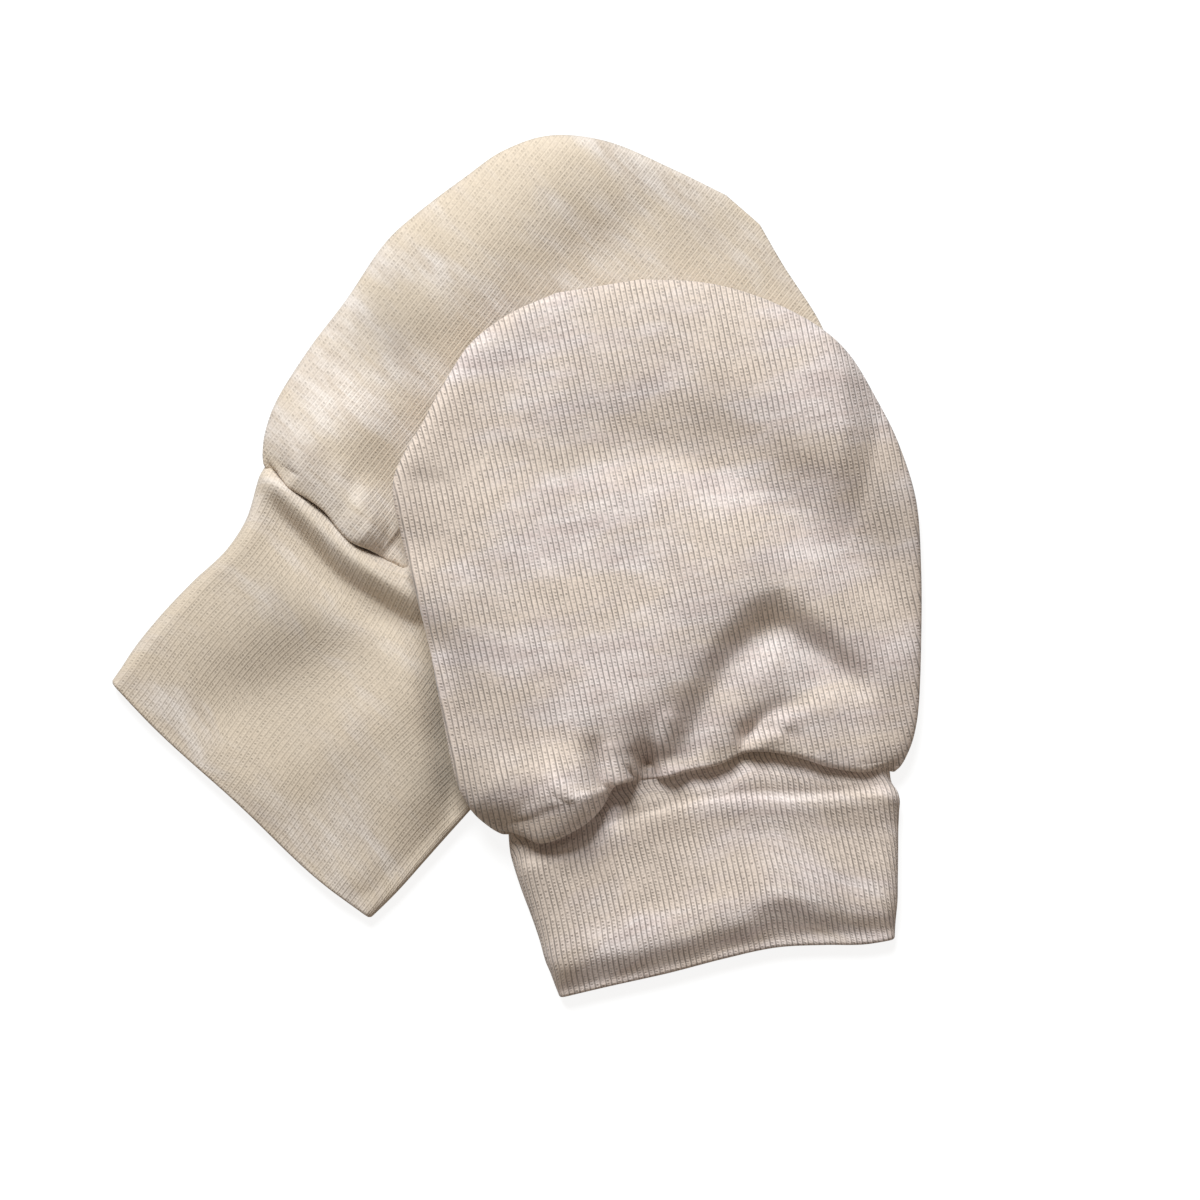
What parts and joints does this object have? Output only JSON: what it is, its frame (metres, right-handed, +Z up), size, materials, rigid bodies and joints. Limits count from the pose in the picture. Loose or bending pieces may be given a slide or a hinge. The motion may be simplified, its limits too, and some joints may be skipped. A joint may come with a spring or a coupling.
{
  "type": "pair of baby mittens",
  "caption": "Soft baby mittens in heathered oatmeal jersey with rounded hands and deep folded cuffs, laid flat with the front mitten draped partly over the back one.",
  "frame": {"origin": "on the surface that the pair lies on, under the middle of its outline", "axes": "+Z up from that surface, +Y towards the tips of the mittens as they lie, +X to the right seen from above"},
  "size_m": [0.1244, 0.1324, 0.0179],
  "materials": {
    "back_jersey": "matte heathered wool jersey, warm oatmeal",
    "front_jersey": "matte heathered wool jersey, oatmeal with a pinker cast"
  },
  "bodies": {
    "root": {"back_mitten_top_panel": "back_jersey", "back_mitten_under_panel": "back_jersey", "back_mitten_cuff": "back_jersey", "front_mitten_top_panel": "front_jersey", "front_mitten_under_panel": "front_jersey", "front_mitten_cuff": "front_jersey"}
  },
  "joints": []
}
